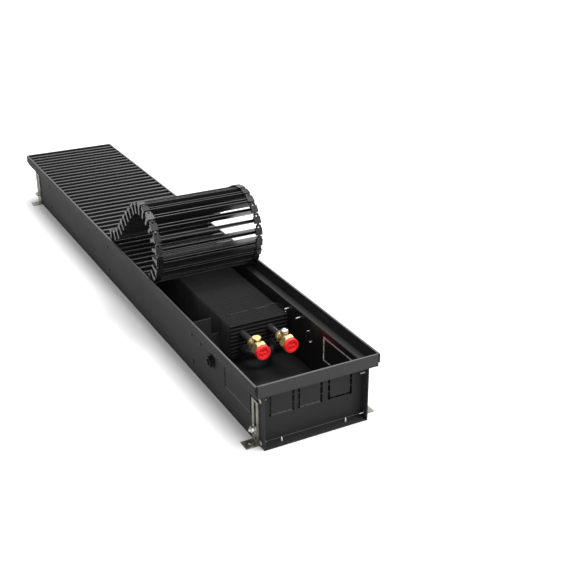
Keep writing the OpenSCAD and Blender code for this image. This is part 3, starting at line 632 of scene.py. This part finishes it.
# ---------------------------------------------------------------- screws
# Zinc-plated tapping screws with a pan head and a cross recess hold the end panels to the walls
# and the cross plates in the trough. Countersunk ones go up through the floor.
def turned(profile, sides=48, rim=None, closed=False):
    """(radius, height) points turned about Z. rim(angle, radius) may give the radius another
    outline, such as a hexagon's. A closed profile joins its last point to its first."""
    angles = np.linspace(0, 2 * math.pi, sides, endpoint=False)
    rows = []
    for radius, height in profile:
        around = np.full(sides, radius, float)
        if rim:
            around = rim(angles, around)
        rows.append(np.stack([around * np.cos(angles), around * np.sin(angles), np.full(sides, height)], 1))
    return grid(np.array(rows), close_rows=closed, close_columns=True)


def thread(radius, start, stop, thread_pitch, depth, sides=24):
    """A threaded rod along Z: its radius falls and rises with height and angle together."""
    angles = np.linspace(0, 2 * math.pi, sides, endpoint=False)
    heights = np.arange(start, stop, thread_pitch / 6)
    wave = np.abs(((heights[:, None] / thread_pitch - angles / (2 * math.pi)) % 1) - 0.5) * 2
    around = radius - depth * wave
    x, y = around * np.cos(angles), around * np.sin(angles)
    return grid(np.stack([x, y, np.broadcast_to(heights[:, None], x.shape)], 2), close_columns=True)


def steps(value, edge, width):
    """Rises smoothly from 0 to 1 as value passes edge."""
    t = np.clip((value - edge) / width + 0.5, 0, 1)
    return t * t * (3 - 2 * t)


def pan_head(radius, tall):
    """A domed head below Z = 0 whose crown has a cross recess: the depth of two crossed arms is
    taken from the dome."""
    rings = np.linspace(0, 1, 15)[:, None] * radius
    angles = np.linspace(0, 2 * math.pi, 48, endpoint=False)[None, :]
    x, y = rings * np.cos(angles), rings * np.sin(angles)
    narrow, wide = np.minimum(np.abs(x), np.abs(y)), np.maximum(np.abs(x), np.abs(y))
    recess = (1 - steps(narrow, radius * 0.13, 0.3)) * (1 - steps(wide, radius * 0.5, 0.4))
    crown = -tall * np.sqrt(1 - 0.75 * (rings / radius) ** 4)
    top = np.stack([x, y, crown + recess * tall * 0.6], 2)
    edge = turned([(radius, -tall / 2), (radius, 0), (0, 0)], 48)
    return join(grid(top, close_columns=True), edge)


screw_r, screw_pitch, screw_depth = 1.8, 1.3, 0.35
head_r, head_h = 3.6, 2.0


def screw(length, tip):
    """A tapping screw along +Z, its head's underside at Z = 0."""
    shank = thread(screw_r, 0, length - tip, screw_pitch, screw_depth)
    point = turned([(1.6, length - tip - 0.2), (0.4, length), (0, length)], 24)
    return join(pan_head(head_r, head_h), shank, point)


def aimed(part, place, axis):
    """A part whose +Z is turned towards an axis, given as +X, -X, +Y or +Z, and moved to a
    place."""
    across = {"+X": ((0, 1, 0), (0, 0, 1), (1, 0, 0)), "-X": ((0, -1, 0), (0, 0, 1), (-1, 0, 0)),
              "+Y": ((-1, 0, 0), (0, 0, 1), (0, 1, 0)), "+Z": ((1, 0, 0), (0, 1, 0), (0, 0, 1))}[axis]
    points, quads = part
    return points @ np.array(across, float) + np.array(place, float), quads


def solid_boxes(node):
    """Lowest and highest corner of each separate solid of a CAD node, in millimetres. Points in
    one place share a number, and each triangle passes its lowest on until no number changes."""
    mesh = frame["nodes"][node].data
    points = np.empty(3 * len(mesh.vertices))
    mesh.vertices.foreach_get("co", points)
    points = points.reshape(-1, 3) * 1000
    corners = np.empty(len(mesh.loops), np.int32)
    mesh.loops.foreach_get("vertex_index", corners)
    _, number, place = np.unique(points.round(3), axis=0, return_index=True, return_inverse=True)
    triangles = place.ravel()[corners].reshape(-1, 3)
    before = None
    while not np.array_equal(number, before):
        before = number.copy()
        np.minimum.at(number, triangles, number[triangles].min(axis=1, keepdims=True))
    solids = [points[number[place.ravel()] == first] for first in np.unique(number)]
    return [(solid.min(axis=0), solid.max(axis=0)) for solid in solids]


# The walls' outer faces, in millimetres from the middle of the trough
wall_face = 86.0
zinc = finish("zinc_plated", (0.58, 0.58, 0.56), 0.3, 1.0, pattern=grain, relief=0.000005)
# Painted shade: a dimmer and a black copy of the zinc, for the panel screws and the left wall's screws; the
# right wall's screws keep the plain zinc
shade_dimmed_zinc = finish("shade_dimmed_zinc", (0.34, 0.34, 0.33), 0.28, 1.0, pattern=grain, relief=0.000005)
shade_black_zinc = finish("shade_black_zinc", (0.05, 0.05, 0.05), 0.36, 1.0, pattern=grain, relief=0.000005)


def wall_screws(node, *sides):
    """Screws through the side walls, at the places of the node's solids and as long as they."""
    parts = []
    for low, high in solid_boxes(node):
        side = 1 if low[0] > 0 else -1
        if side not in sides:
            continue
        length = high[0] - low[0] - head_h
        _, y, z = (low + high) / 2
        parts.append(aimed(screw(length, length * 0.3), (side * wall_face, y, z), "-X" if side > 0 else "+X"))
    return join(*parts)


piece("panel_screws", wall_screws("panel_screws", -1, 1), shade_dimmed_zinc, "casing", "panel_screws")
piece("support_screws_left", wall_screws("support_screws", -1), shade_black_zinc, "casing",
      "support_screws")
piece("support_screws_right", wall_screws("support_screws", 1), zinc, "casing",
      "support_screws")

floor_screw = join(turned([(0, 0), (3.5, 0), (screw_r, 1.7)], 32),
                   thread(screw_r, 1.5, 6.6, screw_pitch, screw_depth),
                   turned([(1.6, 6.4), (0.4, 9), (0, 9)], 24))
floor_places = [(low + high) / 2 * (1, 1, 0) for low, high in solid_boxes("floor_screws")]
floor_screws = join(*[aimed(floor_screw, place, "+Z") for place in floor_places])
piece("floor_screws", floor_screws, zinc, "casing", "floor_screws")

# ---------------------------------------------------------------- feet
# Slotted brackets of galvanised sheet, each clamped to the wall by a bolt with a washer and a
# hexagon nut.
bracket_zinc = finish("galvanised_sheet", (0.5, 0.49, 0.44), 0.42, 0.9)
tree = bracket_zinc.node_tree
flake_group = tree.nodes.new("ShaderNodeGroup")
flake_group.node_tree = spangle
dull_flake = (0.08, 0.075, 0.062)
bright_flake = (0.36, 0.35, 0.30)
mixed = math_node(tree, "MULTIPLY_ADD", flake_group.outputs["Flake"], 0.5,
                  math_node(tree, "MULTIPLY", flake_group.outputs["Stain"], 0.5))
feed(tree, tinted(tree, dull_flake, bright_flake, mixed), "Base Color")
feed(tree, math_node(tree, "MULTIPLY_ADD", flake_group.outputs["Flake"], 0.25, 0.3), "Roughness")
dress(bracket_zinc, *[f"foot_bracket_{end}_{side}" for end in ("near", "far") for side in ("left", "right")])


def hexagon(across_flats):
    """Outline rule that keeps a radius inside a hexagon with a corner at angle 0. A flat is half
    the width over flats away, divided by the cosine of the angle from the flat's middle."""
    def rim(angles, radius):
        off = (angles + math.pi / 6) % (math.pi / 3) - math.pi / 6
        return np.minimum(radius, across_flats / 2 / np.cos(math.pi / 6 - np.abs(off)))
    return rim


def foot_hardware(node, part):
    """The part at each of a node's four solids, pointing outwards from its inner face."""
    parts = []
    for low, high in solid_boxes(node):
        _, y, z = (low + high) / 2
        inner, axis = (low[0], "+X") if low[0] > 0 else (high[0], "-X")
        parts.append(aimed(part, (inner, y, z), axis))
    return join(*parts)


nut = turned([(3.1, 0.4), (3.5, 0), (4.7, 0), (5.8, 0.7), (5.8, 4.3), (4.7, 5), (3.5, 5), (3.1, 4.6)], 72,
             hexagon(10), closed=True)
washer = turned([(3.2, 0), (6.8, 0), (7, 0.2), (7, 1.2), (6.8, 1.4), (3.2, 1.4)], 48, closed=True)
bolt_len = 16.0
bolt_head = turned([(0, 0), (4.5, 0), (6.5, 3), (0, 3)], 48)
bolt_tip = turned([(2.7, bolt_len - 0.7), (2.3, bolt_len), (0, bolt_len)], 24)
bolt = join(bolt_head, thread(3.0, 3, bolt_len - 0.6, 1.0, 0.4), bolt_tip)
piece("foot_nuts", foot_hardware("foot_nuts", nut), zinc, "casing", "foot_nuts")
piece("foot_washers", foot_hardware("foot_washers", washer), zinc, "casing", "foot_washers")
piece("foot_bolts", foot_hardware("foot_bolts", bolt), zinc, "casing", "foot_bolts")

# ---------------------------------------------------------------- connections
# Two brass connectors on the upper tubes: a round union nut, a neck with a boss, and a hexagon
# with the port. The left boss has a brass plug, the right one a nickel-plated vent knob.
brass = finish("brass", (0.82, 0.63, 0.31), 0.34, 0.92, pattern=grain, relief=0.000002)
nickel = finish("nickel", (0.52, 0.52, 0.51), 0.2, 1.0, pattern=grain, relief=0.000001)
hex_af, hex_len, neck_len, boss_h = 24.0, 12.0, 15.0, 12.0
boss_y = hex_len + neck_len / 2


def on_connector(side, along, up=0.0):
    """Place on a side's connector, along from its near end and up from its axis."""
    low, high = (np.array(corner) * 1000 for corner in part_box(f"connector_{side}"))
    return (low[0] + high[0]) / 2, low[1] + along, low[2] + hex_af / 2 + up


hex_corner = hex_af / 2 / math.cos(math.pi / 6)
connector = turned([(0, 10), (8.0, 10), (8.3, 9.6), (8.3, 0.6), (8.9, 0), (11.6, 0), (12.2, 0.15),
                    (13.2, 0.8), (hex_corner, 1.2), (hex_corner, 10.8), (13.2, 11.2), (12.2, 11.85),
                    (11.6, 12), (8.2, 12), (7.3, 12.4), (7.0, 13.2), (7.0, 26.4), (6.6, 27), (0, 27)],
                   72, hexagon(hex_af))
boss = turned([(0, 5), (4.5, 5), (4.5, 8.2), (4.1, 8.6), (4.1, 9.2), (4.5, 9.6), (4.5, 11.6), (4.1, 12),
               (0, 12)], 40)
union = turned([(5.2, 0), (7.6, 0), (8.8, 0.5), (9.5, 1.6), (9.75, 3), (9.75, 6), (9.5, 7.4), (8.8, 8.5),
                (7.6, 9), (6.1, 9)], 56, closed=True)
for side in ("left", "right"):
    whole = join(aimed(connector, on_connector(side, 0), "+Y"), aimed(boss, on_connector(side, boss_y), "+Z"))
    piece(f"connector_{side}", whole, brass, "casing", f"connector_{side}", smooth=32)
unions = join(*[aimed(union, on_connector(side, hex_len + neck_len), "+Y") for side in ("left", "right")])
piece("union_nuts", unions, brass, "casing", "union_nuts", smooth=32)

plug = turned([(0, -6), (2.4, -6), (2.4, 0), (3.5, 0), (3.5, 1), (7.1, 1), (7.5, 1.4), (7.5, 4.0), (7.0, 4.5),
               (0, 4.5)], 56)
piece("drain_plug", aimed(plug, on_connector("left", boss_y, boss_h), "+Z"), brass, "casing",
      "drain_plug", smooth=32)


def ribs(count, depth):
    """Outline rule that presses rounded ribs, as a share of the radius, into its outer part."""
    def rim(angles, radius):
        wave = np.abs(np.sin(angles * count / 2)) ** 0.7
        return radius * (1 - depth * (1 - wave) * (radius > 2.5))
    return rim


knob_r, knob_side_h, dome_h, knob_gap = 7.5, 3.2, 4.3, 0.3
dome_angles = np.radians(np.linspace(0, 90, 12))
dome = [(knob_r * math.cos(a), knob_side_h + dome_h * math.sin(a)) for a in dome_angles]
knob = turned([(0, -6), (2.4, -6), (2.4, 0), (6.9, 0), (knob_r, 0.5)] + dome, 108, ribs(18, 0.09))
piece("vent_knob", aimed(knob, on_connector("right", boss_y, boss_h + knob_gap), "+Z"), nickel,
      "vent_knob", "air_vent_knob", smooth=40)

# ---------------------------------------------------------------- protective caps
# Soft red plastic caps that keep dirt out of the ports: a thick rim round a sunk face with a
# cross to grip.
cap_paint = finish("red_plastic", (1.0, 0.028, 0.032), 0.4, pattern=grain, relief=0.000005,
                   Subsurface_Weight=0.08, Subsurface_Scale=0.002)
cap_r, face_r = 12.2, 11.4
sunk_r, sunk_depth = 7.8, 2.4
arm_half_w, arm_reach, arm_h = 1.1, 5.8, 1.9


def cap_face():
    """The face is a height over a disc: a broad rim, then a sunk floor that carries a cross whose
    arms are where the smaller of |x| and |y| is small."""
    rings = np.linspace(0, face_r, 52)[:, None]
    angles = np.linspace(0, 2 * math.pi, 96, endpoint=False)[None, :]
    x, y = rings * np.cos(angles), rings * np.sin(angles)
    sunk = sunk_depth * (1 - steps(rings, sunk_r, 0.4))
    narrow, wide = np.minimum(np.abs(x), np.abs(y)), np.maximum(np.abs(x), np.abs(y))
    cross = arm_h * (1 - steps(narrow, arm_half_w, 0.4)) * (1 - steps(wide, arm_reach, 0.5))
    return grid(np.stack([x, y, sunk - cross], 2), close_columns=True)


cap_sides = turned([(face_r, 0), (11.9, 0.25), (cap_r, 0.8), (cap_r, 5.7), (11.9, 6.1), (11.5, 6.2),
                    (8.0, 6.2), (8.0, 13.4), (7.4, 14.2), (0, 14.2)], 96)
cap = join(cap_face(), cap_sides)
for side in ("left", "right"):
    low, high = (np.array(corner) * 1000 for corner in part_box(f"protective_cap_{side}"))
    x, _, z = (low + high) / 2
    piece(f"cap_{side}", aimed(cap, (x, low[1], z), "+Y"), cap_paint, f"cap_{side}",
          f"protective_cap_{side}", smooth=40)

# ---------------------------------------------------------------- cable plug
# A blind grommet of black rubber that closes the cable inlet in the left wall. It has ribs down
# its sides and a nipple on its end.
rubber = finish("black_rubber", (0.003, 0.003, 0.003), 0.5, pattern=grain, relief=0.00002,
                Specular_IOR_Level=0.12)
low, high = (np.array(corner) * 1000 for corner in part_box("cable_plug"))
_, y, z = (low + high) / 2
grommet = turned([(0, -3), (11, -3), (11.2, -2.6), (11.2, -1.2), (10.6, -1), (9.8, -1), (9.8, 0),
                  (11.6, 0), (12.4, 0.4), (12.5, 1.2), (12.0, 1.8), (9.6, 2.0), (9.2, 2.6), (9.4, 3.4),
                  (8.9, 4.0), (9.1, 4.8), (8.6, 5.4), (8.6, 6.4), (7.8, 7.0), (5.4, 7.2), (5.0, 7.6),
                  (5.0, 9.0), (4.5, 9.5), (0, 9.5)], 56)
piece("cable_plug", aimed(grommet, (-wall_face, y, z), "-X"), rubber, "casing",
      "cable_plug", smooth=40)
